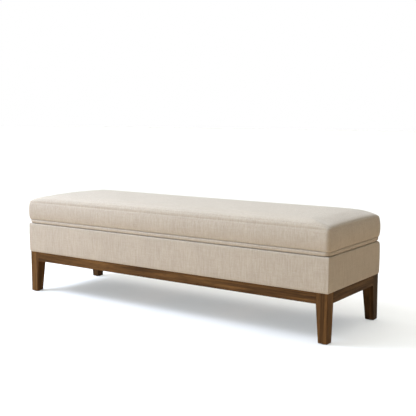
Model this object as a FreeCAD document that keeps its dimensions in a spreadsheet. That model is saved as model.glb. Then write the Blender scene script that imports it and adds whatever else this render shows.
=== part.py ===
import FreeCAD, Part
import os
import Sketcher

# A long storage bench: a walnut base frame on four tapered legs, an upholstered plywood box on it,
# and a cushioned lid hinged along the rear edge and held by two sliding stays.
# Origin: middle of the footprint, on the floor. +X along the bench, front at -Y, +Z up. Millimetres.

os.makedirs("parts", exist_ok=True)
doc = FreeCAD.newDocument("storage_bench")

SIZES = {
    # Whole bench
    "bench_length": 1524,
    "bench_depth": 452,
    "leg_height": 145,
    "apron_height": 41,
    "rim_height": 318,
    "lid_gap": 4,
    "crown_height": 452,
    # Base frame
    "wood_inset": 3.5,
    "wood_ease": 1,
    "leg_head_side": 47,
    "leg_foot_side": 36,
    "apron_thick": 20,
    "rail_width": 60,
    "rail_thick": 22,
    "rail_place": 250,
    "block_reach": 90,
    "block_tall": 30,
    "glide_radius": 13,
    "glide_tall": 3,
    "glide_chamfer": 1,
    # Hanger bolts through the corner blocks
    "bolt_radius": 4,
    "bolt_grip": 28,
    "bolt_tail": 12,
    "nut_radius": 7.5,
    "nut_tall": 6,
    "flange_radius": 9,
    "flange_thick": 1.6,
    # Box
    "panel_thick": 15,
    "floor_thick": 12,
    "dust_thick": 0.8,
    "cover_thick": 5,
    "flap_thick": 1,
    "lining_thick": 1.5,
    "relief_run": 8,
    "relief_drop": 6,
    "panel_relief_run": 4,
    "panel_relief_drop": 3,
    # Lid
    "board_thick": 12,
    "board_inset": 10,
    "board_rear_inset": 11,
    "board_corner": 12,
    "band_thick": 3,
    "lid_lining_thick": 1,
    "cushion_skin": 3,
    "cushion_sag": 24,
    "cushion_corner": 12,
    "cushion_round": 12,
    # Butt hinges
    "hinge_spacing": 560,
    "hinge_width": 75,
    "hinge_axis_inset": 3.5,
    "knuckle_radius": 3.5,
    "knuckle_gap": 0.3,
    "leaf_thick": 1.5,
    "box_leaf_reach": 17,
    "lid_leaf_reach": 24.5,
    "pin_radius": 1.5,
    "pin_head_radius": 2.6,
    "pin_head_thick": 1.2,
    "fit_clearance": 0.05,
    # Wood screws
    "screw_radius": 1.6,
    "screw_head_radius": 3.2,
    "screw_head_thick": 1,
    "screw_spacing": 27,
    "screw_hole_slack": 0.1,
    "box_screw_reach": 16,
    "lid_screw_reach": 10.5,
    "frame_screw_reach": 31,
    # Sliding lid stays
    "stay_arm": 150,
    "stay_tilt": 9.5,
    "lid_opening": 80,
    "stay_width": 12,
    "stay_thick": 2,
    "stay_hole_radius": 2.5,
    "track_thick": 5,
    "track_width": 11,
    "groove_depth": 3.5,
    "groove_radius": 2.7,
    "groove_slack": 0.4,
    "slide_radius": 2.4,
    "slide_tip_gap": 0.3,
    "arm_gap": 2,
    "bracket_gap": 0.3,
    "bracket_foot": 22,
    "bracket_long": 44,
    "bracket_screw_place": 14,
    "rivet_head_radius": 4,
    "rivet_head_thick": 1.2,
    "ear_side": 16,
    "ear_thick": 1.5,
    "ear_drop": 8,
    # Rubber bumpers on the front rim
    "bumper_radius": 6,
    "bumper_tall": 3.7,
    "bumper_inset": 13.5,
    "bumper_near": 240,
    "bumper_far": 700,
}

sheet = doc.addObject("Spreadsheet::Sheet", "sizes")
for row, (alias, value) in enumerate(SIZES.items(), start=1):
    sheet.set(f"A{row}", alias)
    sheet.set(f"B{row}", str(value))
    sheet.setAlias(f"B{row}", alias)
doc.recompute()

# Planes and heights that several pieces share, as expressions over the sheet.
HALF_X = "(sizes.bench_length / 2)"
HALF_Y = "(sizes.bench_depth / 2)"
WOOD_X = "(sizes.bench_length / 2 - sizes.wood_inset)"
WOOD_Y = "(sizes.bench_depth / 2 - sizes.wood_inset)"
APRON_X = f"({WOOD_X} - sizes.apron_thick)"
APRON_Y = f"({WOOD_Y} - sizes.apron_thick)"
FRAME_TOP = "(sizes.leg_height + sizes.apron_height)"
APRON_MIDDLE = "(sizes.leg_height + sizes.apron_height / 2)"
WALL_X = f"({HALF_X} - sizes.cover_thick)"
WALL_Y = f"({HALF_Y} - sizes.cover_thick)"
INNER_X = f"({WALL_X} - sizes.panel_thick)"
INNER_Y = f"({WALL_Y} - sizes.panel_thick)"
LINED_X = f"({INNER_X} - sizes.lining_thick)"
LINED_Y = f"({INNER_Y} - sizes.lining_thick)"
WALL_BOTTOM = f"({FRAME_TOP} + sizes.dust_thick)"
FLOOR_TOP = f"({WALL_BOTTOM} + sizes.floor_thick)"
LINED_FLOOR = f"({FLOOR_TOP} + sizes.lining_thick)"
WALL_TOP = "(sizes.rim_height - sizes.flap_thick)"
LID_BOTTOM = "(sizes.rim_height + sizes.lid_gap)"
BOARD_BOTTOM = f"({LID_BOTTOM} + sizes.lid_lining_thick)"
BOARD_TOP = f"({BOARD_BOTTOM} + sizes.board_thick)"
BOARD_X = f"({HALF_X} - sizes.board_inset)"
BOARD_Y = f"({HALF_Y} - sizes.board_inset)"
BOARD_REAR = f"({HALF_Y} - sizes.board_rear_inset)"
HINGE_Y = f"({HALF_Y} - sizes.hinge_axis_inset)"
HINGE_Z = "(sizes.rim_height + sizes.lid_gap / 2)"
# The stay's arm and the lid's bracket are equally long from the slide pin and from the hinge axis, so
# the slide pin runs straight towards the hinge axis, tilted down to the front.
PIVOT_Y = f"({HINGE_Y} - sizes.stay_arm * cos(sizes.stay_tilt * 1 deg))"
PIVOT_Z = f"({HINGE_Z} - sizes.stay_arm * sin(sizes.stay_tilt * 1 deg))"
SLIDE_FAR = "(2 * sizes.stay_arm)"
SLIDE_NEAR = "(2 * sizes.stay_arm * cos(sizes.lid_opening * 1 deg))"
# The stay's layers, counted inwards from the end wall's lining.
TRACK_FACE = f"({LINED_X} - sizes.track_thick)"
GROOVE_FLOOR = f"({TRACK_FACE} + sizes.groove_depth)"
ARM_OUTER = f"({TRACK_FACE} - sizes.arm_gap)"
ARM_INNER = f"({ARM_OUTER} - sizes.stay_thick)"
BRACKET_OUTER = f"({ARM_INNER} - sizes.bracket_gap)"
BRACKET_INNER = f"({BRACKET_OUTER} - sizes.stay_thick)"
EAR_SEAT = f"({LINED_X} - sizes.ear_thick)"
EAR_PLACES = (("near", f"({SLIDE_NEAR} + sizes.stay_arm / 3)"),
              ("far", f"({SLIDE_FAR} - sizes.stay_arm / 3)"))
EAR_SCREW_DROP = "(sizes.track_width / 2 + sizes.ear_drop)"
# A hinge's middle knuckle, its gaps and its leaves' levels, from the hinge's own middle and axis.
HINGE_HALF = "(sizes.hinge_width / 2)"
LID_KNUCKLE = "(sizes.hinge_width / 6 - sizes.knuckle_gap / 2)"
BOX_KNUCKLE = "(sizes.hinge_width / 6 + sizes.knuckle_gap / 2)"
LEAF_BACK = "-(sizes.knuckle_radius + sizes.knuckle_gap)"
HALF_GAP = "(sizes.lid_gap / 2)"
# Where the leaves' screws stand: how far in front of the hinge axis, and the level under their heads.
BOX_SCREW_BACK = "(sizes.box_leaf_reach - sizes.screw_head_radius * 2)"
LID_SCREW_BACK = "(sizes.lid_leaf_reach - sizes.screw_head_radius * 2)"
BOX_SCREW_SEAT = "(sizes.rim_height + sizes.leaf_thick - sizes.screw_head_thick)"
LID_SCREW_SEAT = f"({LID_BOTTOM} - sizes.leaf_thick + sizes.screw_head_thick)"
SCREW_HOLE = "(sizes.screw_radius + sizes.screw_hole_slack)"
HEAD_HOLE = "(sizes.screw_head_radius + sizes.screw_hole_slack)"
RAIL_BOTTOM = f"({FRAME_TOP} - sizes.rail_thick)"
# A corner piece's diagonal, from the bench's corner inwards, and distances along it.
DIAGONAL = FreeCAD.Rotation(FreeCAD.Vector(0, 0, 1), FreeCAD.Vector(1, 1, 0))
LEG_CORNER = "(sizes.leg_head_side * sqrt(2))"
BLOCK_FACE = "((2 * sizes.apron_thick + sizes.block_reach) / sqrt(2))"
BOLT_START = f"({LEG_CORNER} - sizes.bolt_grip)"

SIDES = (("left", -1), ("right", 1))
ENDS = (("front", -1), ("back", 1))
HINGE_PLACES = (("left", "-sizes.hinge_spacing"), ("middle", "0"), ("right", "sizes.hinge_spacing"))
FRAME_SCREWS = [(side, end, (f"{x_sign} * sizes.rail_place", f"{y_sign} * {APRON_Y} / 2"))
                for side, x_sign in SIDES for end, y_sign in ENDS]
# Each corner's name, the signs of its place and the turn that brings a front left piece there.
CORNERS = (("front_left", -1, -1, 0), ("front_right", 1, -1, 90),
           ("back_right", 1, 1, 180), ("back_left", -1, 1, 270))
AXIS_TURNS = {"x": ((0, 1, 0), 90), "y": ((1, 0, 0), -90), "z": ((0, 0, 1), 0)}

subparts = []


def keep(piece):
    """Note a finished sub-part, whose Label names its file."""
    subparts.append(piece)
    return piece


def span(sign, near, far):
    """Low and high ends of the stretch between two distances from the middle, on one side of it."""
    return (near, far) if sign > 0 else (f"-({far})", f"-({near})")


def both_ways(distance):
    """The stretch as far to the low side as to the high side."""
    return (f"-({distance})", distance)


def bind_place(piece, x, y, z):
    for axis, expression in zip("xyz", (x, y, z)):
        piece.setExpression(f"Placement.Base.{axis}", expression)


def shape_box(piece, x, y, z):
    """Bind a box feature to its low and high faces along each axis."""
    for side, (low, high) in zip(("Length", "Width", "Height"), (x, y, z)):
        piece.setExpression(side, f"{high} - ({low})")
    bind_place(piece, x[0], y[0], z[0])
    return piece


def shape_rod(piece, axis, along, across, radius):
    """Bind a cylinder feature to a stretch along one axis and its centre across the other two."""
    piece.setExpression("Radius", radius)
    piece.setExpression("Height", f"{along[1]} - ({along[0]})")
    turn, angle = AXIS_TURNS[axis]
    piece.Placement = FreeCAD.Placement(FreeCAD.Vector(), FreeCAD.Rotation(FreeCAD.Vector(*turn), angle))
    centre = list(across)
    centre.insert("xyz".index(axis), along[0])
    bind_place(piece, *centre)
    return piece


def block(name, x, y, z):
    return shape_box(doc.addObject("Part::Box", name), x, y, z)


def rod(name, axis, along, across, radius):
    return shape_rod(doc.addObject("Part::Cylinder", name), axis, along, across, radius)


def group(name, pieces):
    """One object of all the pieces: those that touch become one solid, the others stay apart."""
    fused = doc.addObject("Part::MultiFuse", name)
    fused.Shapes = pieces
    return fused


def cut(name, base, tools):
    result = doc.addObject("Part::Cut", name)
    result.Base = base
    result.Tool = tools[0] if len(tools) == 1 else group(f"{name}_holes", tools)
    return result


def new_body(name):
    return doc.addObject("PartDesign::Body", name)


def body_box(body, kind, x, y, z):
    """Add (Additive) or take away (Subtractive) a box in a body's own frame."""
    return shape_box(body.newObject(f"PartDesign::{kind}Box", f"{body.Name}_box"), x, y, z)


def body_rod(body, kind, axis, along, across, radius):
    """Add or take away a cylinder in a body's own frame."""
    return shape_rod(body.newObject(f"PartDesign::{kind}Cylinder", f"{body.Name}_rod"),
                     axis, along, across, radius)


def origin_plane(body, role):
    return next(plane for plane in body.Origin.OriginFeatures if plane.Role == role)


def polygon_sketch(body, role, points):
    """A closed outline whose corners are bound to expressions over the sheet."""
    sketch = body.newObject("Sketcher::SketchObject", f"{body.Name}_outline")
    sketch.AttachmentSupport = [(origin_plane(body, role), "")]
    sketch.MapMode = "FlatFace"
    corners = [FreeCAD.Vector(*(float(sheet.evalExpression(value)) for value in point), 0)
               for point in points]
    for start, end in zip(corners, corners[1:] + corners[:1]):
        sketch.addGeometry(Part.LineSegment(start, end))
    count = len(points)
    for index in range(count):
        sketch.addConstraint(Sketcher.Constraint("Coincident", index, 2, (index + 1) % count, 1))
    for index, point in enumerate(points):
        for kind, value, expression in zip(("DistanceX", "DistanceY"), corners[index], point):
            place = sketch.addConstraint(Sketcher.Constraint(kind, -1, 1, index, 1, value))
            sketch.setExpression(f"Constraints[{place}]", expression)
    return sketch


def pad(body, sketch, length, midplane=False):
    feature = body.newObject("PartDesign::Pad", f"{body.Name}_pad")
    feature.Profile = sketch
    feature.setExpression("Length", length)
    if midplane:
        feature.SideType = "Symmetric"
    return feature


def profile_bar(name, points, half_length):
    """A bar along X with the outline given by (y, z) points, centred on the bench."""
    body = new_body(name)
    pad(body, polygon_sketch(body, "YZ_Plane", points), f"2 * {half_length}", midplane=True)
    return body


# Base frame


def make_leg(name):
    """A leg with its outer corner at its origin: a loft from foot to apron, then a block beside it."""
    body = new_body(name)
    foot = eased_square(body, "foot", "sizes.leg_foot_side", "sizes.glide_tall")
    head = eased_square(body, "head", "sizes.leg_head_side", "sizes.leg_height")
    taper = body.newObject("PartDesign::AdditiveLoft", f"{name}_taper")
    taper.Profile = foot
    taper.Sections = [head]
    pad(body, head, "sizes.apron_height")
    add_bolt_hole(body, BOLT_START, LEG_CORNER)
    return body


def eased_square(body, name, side, height):
    """A square from the body's origin corner, at a height, its corners eased."""
    ease = "sizes.wood_ease"
    short = f"({side} - {ease})"
    points = ((ease, "0"), (short, "0"), (side, ease), (side, short),
              (short, side), (ease, side), ("0", short), ("0", ease))
    sketch = polygon_sketch(body, "XY_Plane", points)
    sketch.Label = f"{body.Name}_{name}"
    sketch.setExpression("AttachmentOffset.Base.z", height)
    return sketch


def add_bolt_hole(body, near, far):
    """Take away the hanger bolt's hole along the diagonal, between two distances from the outer corner."""
    hole = body.newObject("PartDesign::SubtractiveCylinder", f"{body.Name}_bolt_hole")
    hole.setExpression("Radius", "sizes.bolt_radius + sizes.fit_clearance")
    hole.setExpression("Height", f"{far} - ({near})")
    hole.Placement = FreeCAD.Placement(FreeCAD.Vector(), DIAGONAL)
    bind_place(hole, f"({near}) / sqrt(2)", f"({near}) / sqrt(2)", APRON_MIDDLE)


def make_corner_block(name):
    """A glue block that fills the corner between two aprons and wraps the leg's inner corner."""
    body = new_body(name)
    skin, leg = "sizes.apron_thick", "sizes.leg_head_side"
    reach = "sizes.apron_thick + sizes.block_reach"
    points = ((leg, skin), (reach, skin), (skin, reach), (skin, leg), (leg, leg))
    sketch = polygon_sketch(body, "XY_Plane", points)
    sketch.setExpression("AttachmentOffset.Base.z", f"{APRON_MIDDLE} - sizes.block_tall / 2")
    pad(body, sketch, "sizes.block_tall")
    add_bolt_hole(body, f"{LEG_CORNER} - 2 * sizes.bolt_radius", BLOCK_FACE)
    return body


def make_glide(name):
    """A plastic disc under the foot, chamfered where it meets the floor."""
    middle = ("sizes.leg_foot_side / 2", "sizes.leg_foot_side / 2")
    disc = rod(f"{name}_disc", "z", ("sizes.glide_chamfer", "sizes.glide_tall"), middle,
               "sizes.glide_radius")
    edge = doc.addObject("Part::Cone", f"{name}_edge")
    edge.setExpression("Radius1", "sizes.glide_radius - sizes.glide_chamfer")
    edge.setExpression("Radius2", "sizes.glide_radius")
    edge.setExpression("Height", "sizes.glide_chamfer")
    bind_place(edge, *middle, "0")
    return group(name, [disc, edge])


def make_hanger_bolt(name):
    bolt = doc.addObject("Part::Cylinder", name)
    bolt.setExpression("Radius", "sizes.bolt_radius")
    bolt.setExpression("Height", f"{BLOCK_FACE} + sizes.bolt_tail - {BOLT_START}")
    bolt.Placement = FreeCAD.Placement(FreeCAD.Vector(), DIAGONAL)
    bind_place(bolt, f"{BOLT_START} / sqrt(2)", f"{BOLT_START} / sqrt(2)", APRON_MIDDLE)
    return bolt


def make_flange_nut(name):
    """A hexagon nut with a round flange, in its own frame: bore along Z, flange face at the origin."""
    body = new_body(name)
    body_rod(body, "Additive", "z", ("0", "sizes.flange_thick"), ("0", "0"), "sizes.flange_radius")
    hexagon = body.newObject("PartDesign::AdditivePrism", f"{name}_hexagon")
    hexagon.Polygon = 6
    hexagon.setExpression("Circumradius", "sizes.nut_radius")
    hexagon.setExpression("Height", "sizes.flange_thick + sizes.nut_tall")
    body_rod(body, "Subtractive", "z", ("0", "sizes.flange_thick + sizes.nut_tall"), ("0", "0"),
             "sizes.bolt_radius + sizes.fit_clearance")
    body.Placement = FreeCAD.Placement(FreeCAD.Vector(), DIAGONAL)
    bind_place(body, f"{BLOCK_FACE} / sqrt(2)", f"{BLOCK_FACE} / sqrt(2)", APRON_MIDDLE)
    return body


def to_corner(piece, x_sign, y_sign, turn):
    """Wrap a front left corner's piece in an object that stands it at another corner."""
    placed = doc.addObject("Part::Compound", f"{piece.Name}_placed")
    placed.Links = [piece]
    placed.Placement.Rotation = FreeCAD.Rotation(FreeCAD.Vector(0, 0, 1), turn)
    bind_place(placed, f"{x_sign} * {WOOD_X}", f"{y_sign} * {WOOD_Y}", "0")
    return placed


def place_at_corner(piece, x_sign, y_sign, turn):
    """Stand a front left corner's piece at another corner."""
    piece.Placement.Rotation = FreeCAD.Rotation(FreeCAD.Vector(0, 0, 1), turn)
    bind_place(piece, f"{x_sign} * {WOOD_X}", f"{y_sign} * {WOOD_Y}", "0")
    return piece


def make_base_frame():
    bolts = []
    nuts = []
    for corner, x_sign, y_sign, turn in CORNERS:
        place = (x_sign, y_sign, turn)
        keep(place_at_corner(make_leg(f"leg_{corner}"), *place))
        keep(place_at_corner(make_corner_block(f"corner_block_{corner}"), *place))
        keep(place_at_corner(make_glide(f"foot_glide_{corner}"), *place))
        bolts.append(to_corner(make_hanger_bolt(f"hanger_bolt_{corner}"), *place))
        nuts.append(to_corner(make_flange_nut(f"flange_nut_{corner}"), *place))
    keep(group("hanger_bolts", bolts))
    keep(group("flange_nuts", nuts))

    for end, sign in ENDS:
        keep(make_apron(f"apron_{end}", apron_outline(WOOD_X, APRON_Y, WOOD_Y, sign)))
    for side, sign in SIDES:
        outline = apron_outline(WOOD_Y, APRON_X, WOOD_X, sign)
        keep(make_apron(f"apron_{side}", [(x, y) for y, x in outline]))
        keep(make_cross_rail(side, sign))
    keep(group("frame_screws", [frame_screw(f"frame_screw_{side}_{end}", *place)
                                for side, end, place in FRAME_SCREWS]))


def apron_outline(leg_face, inner, outer, sign):
    """An apron in plan, as (along, across) points: its outer face is eased where it meets the legs."""
    end = f"({leg_face} - sizes.leg_head_side)"
    short = f"({end} - sizes.wood_ease)"
    eased = f"{sign} * ({outer} - sizes.wood_ease)"
    inside, outside = f"{sign} * {inner}", f"{sign} * {outer}"
    return ((f"-{end}", inside), (f"-{end}", eased), (f"-{short}", outside),
            (short, outside), (end, eased), (end, inside))


def make_apron(name, points):
    body = new_body(name)
    sketch = polygon_sketch(body, "XY_Plane", points)
    sketch.setExpression("AttachmentOffset.Base.z", "sizes.leg_height")
    pad(body, sketch, "sizes.apron_height")
    return body


def frame_screw_hole(name, place):
    """The hole that a frame screw needs, from under the rail to its tip."""
    top = f"({RAIL_BOTTOM} + sizes.frame_screw_reach)"
    return rod(name, "z", (RAIL_BOTTOM, top), place, SCREW_HOLE)


def frame_screw(name, *place):
    return screw(name, place, RAIL_BOTTOM, 1, "sizes.frame_screw_reach - sizes.screw_hole_slack")


def screw(name, place, seat, way, reach):
    """A wood screw along Z: its head below (way 1) or above (way -1) its seat, its shank beyond it."""
    head = (f"({seat} - sizes.screw_head_thick)", seat)
    shank = (seat, f"({seat} + {reach})")
    if way < 0:
        head = (seat, f"({seat} + sizes.screw_head_thick)")
        shank = (f"({seat} - ({reach}))", seat)
    return group(name, [rod(f"{name}_head", "z", head, place, "sizes.screw_head_radius"),
                        rod(f"{name}_shank", "z", shank, place, "sizes.screw_radius")])


def make_cross_rail(side, sign):
    """A flat rail between the long aprons, under the box floor, drilled for its screws."""
    centre = f"{sign} * sizes.rail_place"
    rail = block(f"cross_rail_{side}_blank",
                 (f"({centre} - sizes.rail_width / 2)", f"({centre} + sizes.rail_width / 2)"),
                 both_ways(APRON_Y), (RAIL_BOTTOM, FRAME_TOP))
    holes = [frame_screw_hole(f"rail_hole_{side}_{end}", place)
             for this_side, end, place in FRAME_SCREWS if this_side == side]
    return cut(f"cross_rail_{side}", rail, holes)


# Box


def make_box():
    wall_tall = (WALL_BOTTOM, WALL_TOP)
    keep(cut("dust_cover",
             block("dust_cover_blank", both_ways(WALL_X), both_ways(WALL_Y), (FRAME_TOP, WALL_BOTTOM)),
             [frame_screw_hole(f"dust_hole_{side}_{end}", place) for side, end, place in FRAME_SCREWS]))
    keep(cut("box_floor",
             block("box_floor_blank", both_ways(INNER_X), both_ways(INNER_Y), (WALL_BOTTOM, FLOOR_TOP)),
             [frame_screw_hole(f"floor_hole_{side}_{end}", place) for side, end, place in FRAME_SCREWS]))
    keep(block("box_panel_front", both_ways(WALL_X), span(-1, INNER_Y, WALL_Y), wall_tall))
    keep(make_back_panel())
    for side, sign in SIDES:
        end_panel = block(f"box_panel_{side}_blank", span(sign, INNER_X, WALL_X), both_ways(INNER_Y),
                          wall_tall)
        keep(cut(f"box_panel_{side}", end_panel, ear_screw_holes(f"panel_{side}", sign)))
    keep(make_wall_lining())
    keep(block("floor_lining", both_ways(INNER_X), both_ways(INNER_Y), (FLOOR_TOP, LINED_FLOOR)))
    keep(make_front_cover())
    keep(make_back_cover())
    for side, sign in SIDES:
        keep(make_end_cover(side, sign))


def make_back_panel():
    """The rear wall, its top edge chamfered along the hinges and drilled for their screws."""
    slope_top = f"({WALL_Y} - sizes.panel_relief_run)"
    slope_foot = f"({WALL_TOP} - sizes.panel_relief_drop)"
    points = ((INNER_Y, WALL_BOTTOM), (WALL_Y, WALL_BOTTOM), (WALL_Y, slope_foot),
              (slope_top, WALL_TOP), (INNER_Y, WALL_TOP))
    blank = profile_bar("box_panel_back_blank", points, WALL_X)
    return cut("box_panel_back", blank, rim_screw_holes("panel_back"))


def make_front_cover():
    """The padded cover of the front wall, with a thin flap over the rim."""
    wall = block("box_cover_front_wall", both_ways(HALF_X), span(-1, WALL_Y, HALF_Y),
                 (FRAME_TOP, "sizes.rim_height"))
    flap = block("box_cover_front_flap", both_ways(WALL_X), span(-1, LINED_Y, WALL_Y),
                 (WALL_TOP, "sizes.rim_height"))
    return group("box_cover_front", [wall, flap])


def make_back_cover():
    """The padded cover of the rear wall: its flap falls away under the hinge barrels."""
    points = ((WALL_Y, FRAME_TOP), (HALF_Y, FRAME_TOP), (HALF_Y, "(sizes.rim_height - sizes.relief_drop)"),
              (f"({HALF_Y} - sizes.relief_run)", "sizes.rim_height"), (LINED_Y, "sizes.rim_height"),
              (LINED_Y, WALL_TOP), (f"({WALL_Y} - sizes.panel_relief_run)", WALL_TOP),
              (WALL_Y, f"({WALL_TOP} - sizes.panel_relief_drop)"))
    blank = profile_bar("box_cover_back_blank", points, WALL_X)
    return cut("box_cover_back", blank, rim_screw_holes("cover_back"))


def make_end_cover(side, sign):
    """The padded cover of an end wall, with a flap over the rim between the front and rear flaps."""
    wall = block(f"box_cover_{side}_wall", span(sign, WALL_X, HALF_X), (f"-{WALL_Y}", HALF_Y),
                 (FRAME_TOP, "sizes.rim_height"))
    flap = block(f"box_cover_{side}_flap", span(sign, LINED_X, WALL_X), both_ways(LINED_Y),
                 (WALL_TOP, "sizes.rim_height"))
    wall = cut(f"box_cover_{side}_corner", wall, [rear_corner_relief(side, sign)])
    return group(f"box_cover_{side}", [wall, flap])


def rear_corner_relief(side, sign):
    """The wedge that carries the rear cover's slope on through an end cover."""
    body = new_body(f"rear_relief_{side}")
    points = ((f"({HALF_Y} - sizes.relief_run)", "sizes.rim_height"),
              (HALF_Y, f"(sizes.rim_height - sizes.relief_drop)"), (HALF_Y, "sizes.rim_height"))
    pad(body, polygon_sketch(body, "YZ_Plane", points), "2 * sizes.cover_thick", midplane=True)
    bind_place(body, f"{sign} * {HALF_X}", "0", "0")
    return body


def make_wall_lining():
    """One sleeve of lining round the four inner walls, with the stay screws through it."""
    tall = (LINED_FLOOR, WALL_TOP)
    outer = block("wall_lining_outer", both_ways(INNER_X), both_ways(INNER_Y), tall)
    inner = block("wall_lining_inner", both_ways(LINED_X), both_ways(LINED_Y), tall)
    holes = [hole for side, sign in SIDES for hole in ear_screw_holes(f"lining_{side}", sign)]
    return cut("wall_lining", outer, [inner] + holes)


# Lid


def make_lid():
    keep(cut("lid_lining", board_slab("lid_lining_blank", "0", (LID_BOTTOM, BOARD_BOTTOM)),
             lid_screw_holes("lining")))
    keep(cut("lid_board", board_slab("lid_board_blank", "0", (BOARD_BOTTOM, BOARD_TOP)),
             lid_screw_holes("board")))
    keep(make_edge_band())
    foam = (f"({HALF_X} - sizes.cushion_skin)", f"({HALF_Y} - sizes.cushion_skin)",
            "(sizes.crown_height - sizes.cushion_skin)")
    keep(crowned_block("cushion_foam", *foam))
    pocket = crowned_block("cushion_pocket", *foam)
    outside = crowned_block("cushion_outer", HALF_X, HALF_Y, "sizes.crown_height")
    keep(cut("cushion_cover", outside, [pocket]))


def round_corners(name, blank, radius):
    """A block with its four upright edges rounded."""
    doc.recompute()
    rounded = doc.addObject("Part::Fillet", name)
    rounded.Base = blank
    rounded.Edges = [(number, radius, radius) for number, edge in enumerate(blank.Shape.Edges, start=1)
                     if edge.BoundBox.XLength + edge.BoundBox.YLength < radius]
    return rounded


def board_slab(name, margin, tall):
    """A slab of the lid board's outline, larger by a margin all round."""
    blank = block(f"{name}_square", both_ways(f"({BOARD_X} + {margin})"),
                  (f"-({BOARD_Y} + {margin})", f"({BOARD_REAR} + {margin})"), tall)
    radius = sheet.get("board_corner") + float(sheet.evalExpression(margin))
    return round_corners(name, blank, radius)


def make_edge_band():
    """Fabric wrapped round the lid board's edges."""
    tall = (LID_BOTTOM, BOARD_TOP)
    outer = board_slab("lid_edge_band_outer", "sizes.band_thick", tall)
    return cut("lid_edge_band", outer, [board_slab("lid_edge_band_inner", "0", tall)])


def crowned_block(name, half_x, half_y, top):
    """A cushion on the lid board: round corners and lower edge, and a top crowned from front to rear."""
    blank = block(f"{name}_blank", both_ways(half_x), both_ways(half_y), (BOARD_TOP, top))
    corners = round_corners(f"{name}_corners", blank, sheet.get("cushion_corner"))
    # The crown is the top of a large cylinder along X that falls by the sag at the front and rear edges.
    crown_radius = f"(({half_y} ^ 2 + sizes.cushion_sag ^ 2) / (2 * sizes.cushion_sag))"
    crown = rod(f"{name}_crown", "x", both_ways(half_x), ("0", f"({top} - {crown_radius})"), crown_radius)
    crowned = doc.addObject("Part::Common", f"{name}_crowned")
    crowned.Base = corners
    crowned.Tool = crown
    doc.recompute()
    rounded = doc.addObject("Part::Fillet", name)
    rounded.Base = crowned
    radius = sheet.get("cushion_round")
    middle = crowned.Shape.BoundBox.Center.z
    rounded.Edges = [(number, radius, radius) for number, edge in enumerate(crowned.Shape.Edges, start=1)
                     if edge.BoundBox.ZMin > middle]
    return rounded


# Butt hinges


def hinge_leaf(name, place, knuckles, reach, levels):
    """A leaf that reaches forward from the hinge axis, with the knuckles at the given stretches."""
    body = new_body(name)
    body_box(body, "Additive", both_ways(HINGE_HALF), (f"-{reach}", LEAF_BACK), levels)
    for stretch in knuckles:
        body_box(body, "Additive", stretch, (LEAF_BACK, "0"), levels)
        body_rod(body, "Additive", "x", stretch, ("0", "0"), "sizes.knuckle_radius")
    body_rod(body, "Subtractive", "x", both_ways("sizes.hinge_width"), ("0", "0"),
             "sizes.pin_radius + sizes.fit_clearance")
    bind_place(body, place, HINGE_Y, HINGE_Z)
    return body


def drill_leaf(body, across, low, high):
    """Three screw holes through a leaf, widened for the screws' heads between two levels."""
    deep = both_ways(HALF_GAP)
    for step in (-1, 0, 1):
        place = (f"{step} * sizes.screw_spacing", across)
        body_rod(body, "Subtractive", "z", deep, place, SCREW_HOLE)
        body_rod(body, "Subtractive", "z", (low, high), place, HEAD_HOLE)


def make_box_leaf(name, place):
    """The leaf on the rim, with the two outer knuckles."""
    top = f"(-{HALF_GAP} + sizes.leaf_thick)"
    stretches = [span(sign, BOX_KNUCKLE, HINGE_HALF) for _, sign in SIDES]
    leaf = hinge_leaf(name, place, stretches, "sizes.box_leaf_reach", (f"-{HALF_GAP}", top))
    drill_leaf(leaf, f"-{BOX_SCREW_BACK}", f"{top} - sizes.screw_head_thick", HALF_GAP)
    return leaf


def make_lid_leaf(name, place):
    """The leaf under the lid, with the middle knuckle."""
    bottom = f"({HALF_GAP} - sizes.leaf_thick)"
    leaf = hinge_leaf(name, place, [both_ways(LID_KNUCKLE)], "sizes.lid_leaf_reach", (bottom, HALF_GAP))
    drill_leaf(leaf, f"-{LID_SCREW_BACK}", f"-{HALF_GAP}", f"{bottom} + sizes.screw_head_thick")
    return leaf


def make_hinge_pin(name, place):
    """A pin through all knuckles with a head at each end."""
    pin = new_body(name)
    body_rod(pin, "Additive", "x", both_ways(HINGE_HALF), ("0", "0"), "sizes.pin_radius")
    for _, sign in SIDES:
        head = span(sign, HINGE_HALF, f"({HINGE_HALF} + sizes.pin_head_thick)")
        body_rod(pin, "Additive", "x", head, ("0", "0"), "sizes.pin_head_radius")
    bind_place(pin, place, HINGE_Y, HINGE_Z)
    return pin


def hinge_screw_places(back):
    """Names and places of the screws in all leaves of one kind, by their distance from the hinge axis."""
    return [(f"{hinge}_{step + 1}", (f"({place}) + {step} * sizes.screw_spacing", f"{HINGE_Y} - {back}"))
            for hinge, place in HINGE_PLACES for step in (-1, 0, 1)]


def rim_screw_holes(name):
    """Holes for the box leaves' screws, down from the rim."""
    deep = (f"({BOX_SCREW_SEAT} - sizes.box_screw_reach - sizes.screw_hole_slack)", LID_BOTTOM)
    return [rod(f"{name}_hole_{step}", "z", deep, place, SCREW_HOLE)
            for step, place in hinge_screw_places(BOX_SCREW_BACK)]


def lid_screw_holes(name):
    """Holes for the lid leaves' and stay brackets' screws, up from under the lid."""
    top = f"({LID_SCREW_SEAT} + sizes.lid_screw_reach + sizes.screw_hole_slack)"
    places = hinge_screw_places(LID_SCREW_BACK) + bracket_screw_places()
    return [rod(f"{name}_hole_{step}", "z", ("sizes.rim_height", top), place, SCREW_HOLE)
            for step, place in places]


# Sliding lid stays


def bracket_screw_places():
    x = f"({BRACKET_OUTER} - sizes.bracket_foot / 2)"
    return [(f"bracket_{side}_{end}", (f"{sign} * {x}", f"{PIVOT_Y} + {way} * sizes.bracket_screw_place"))
            for side, sign in SIDES for end, way in ENDS]


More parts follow.
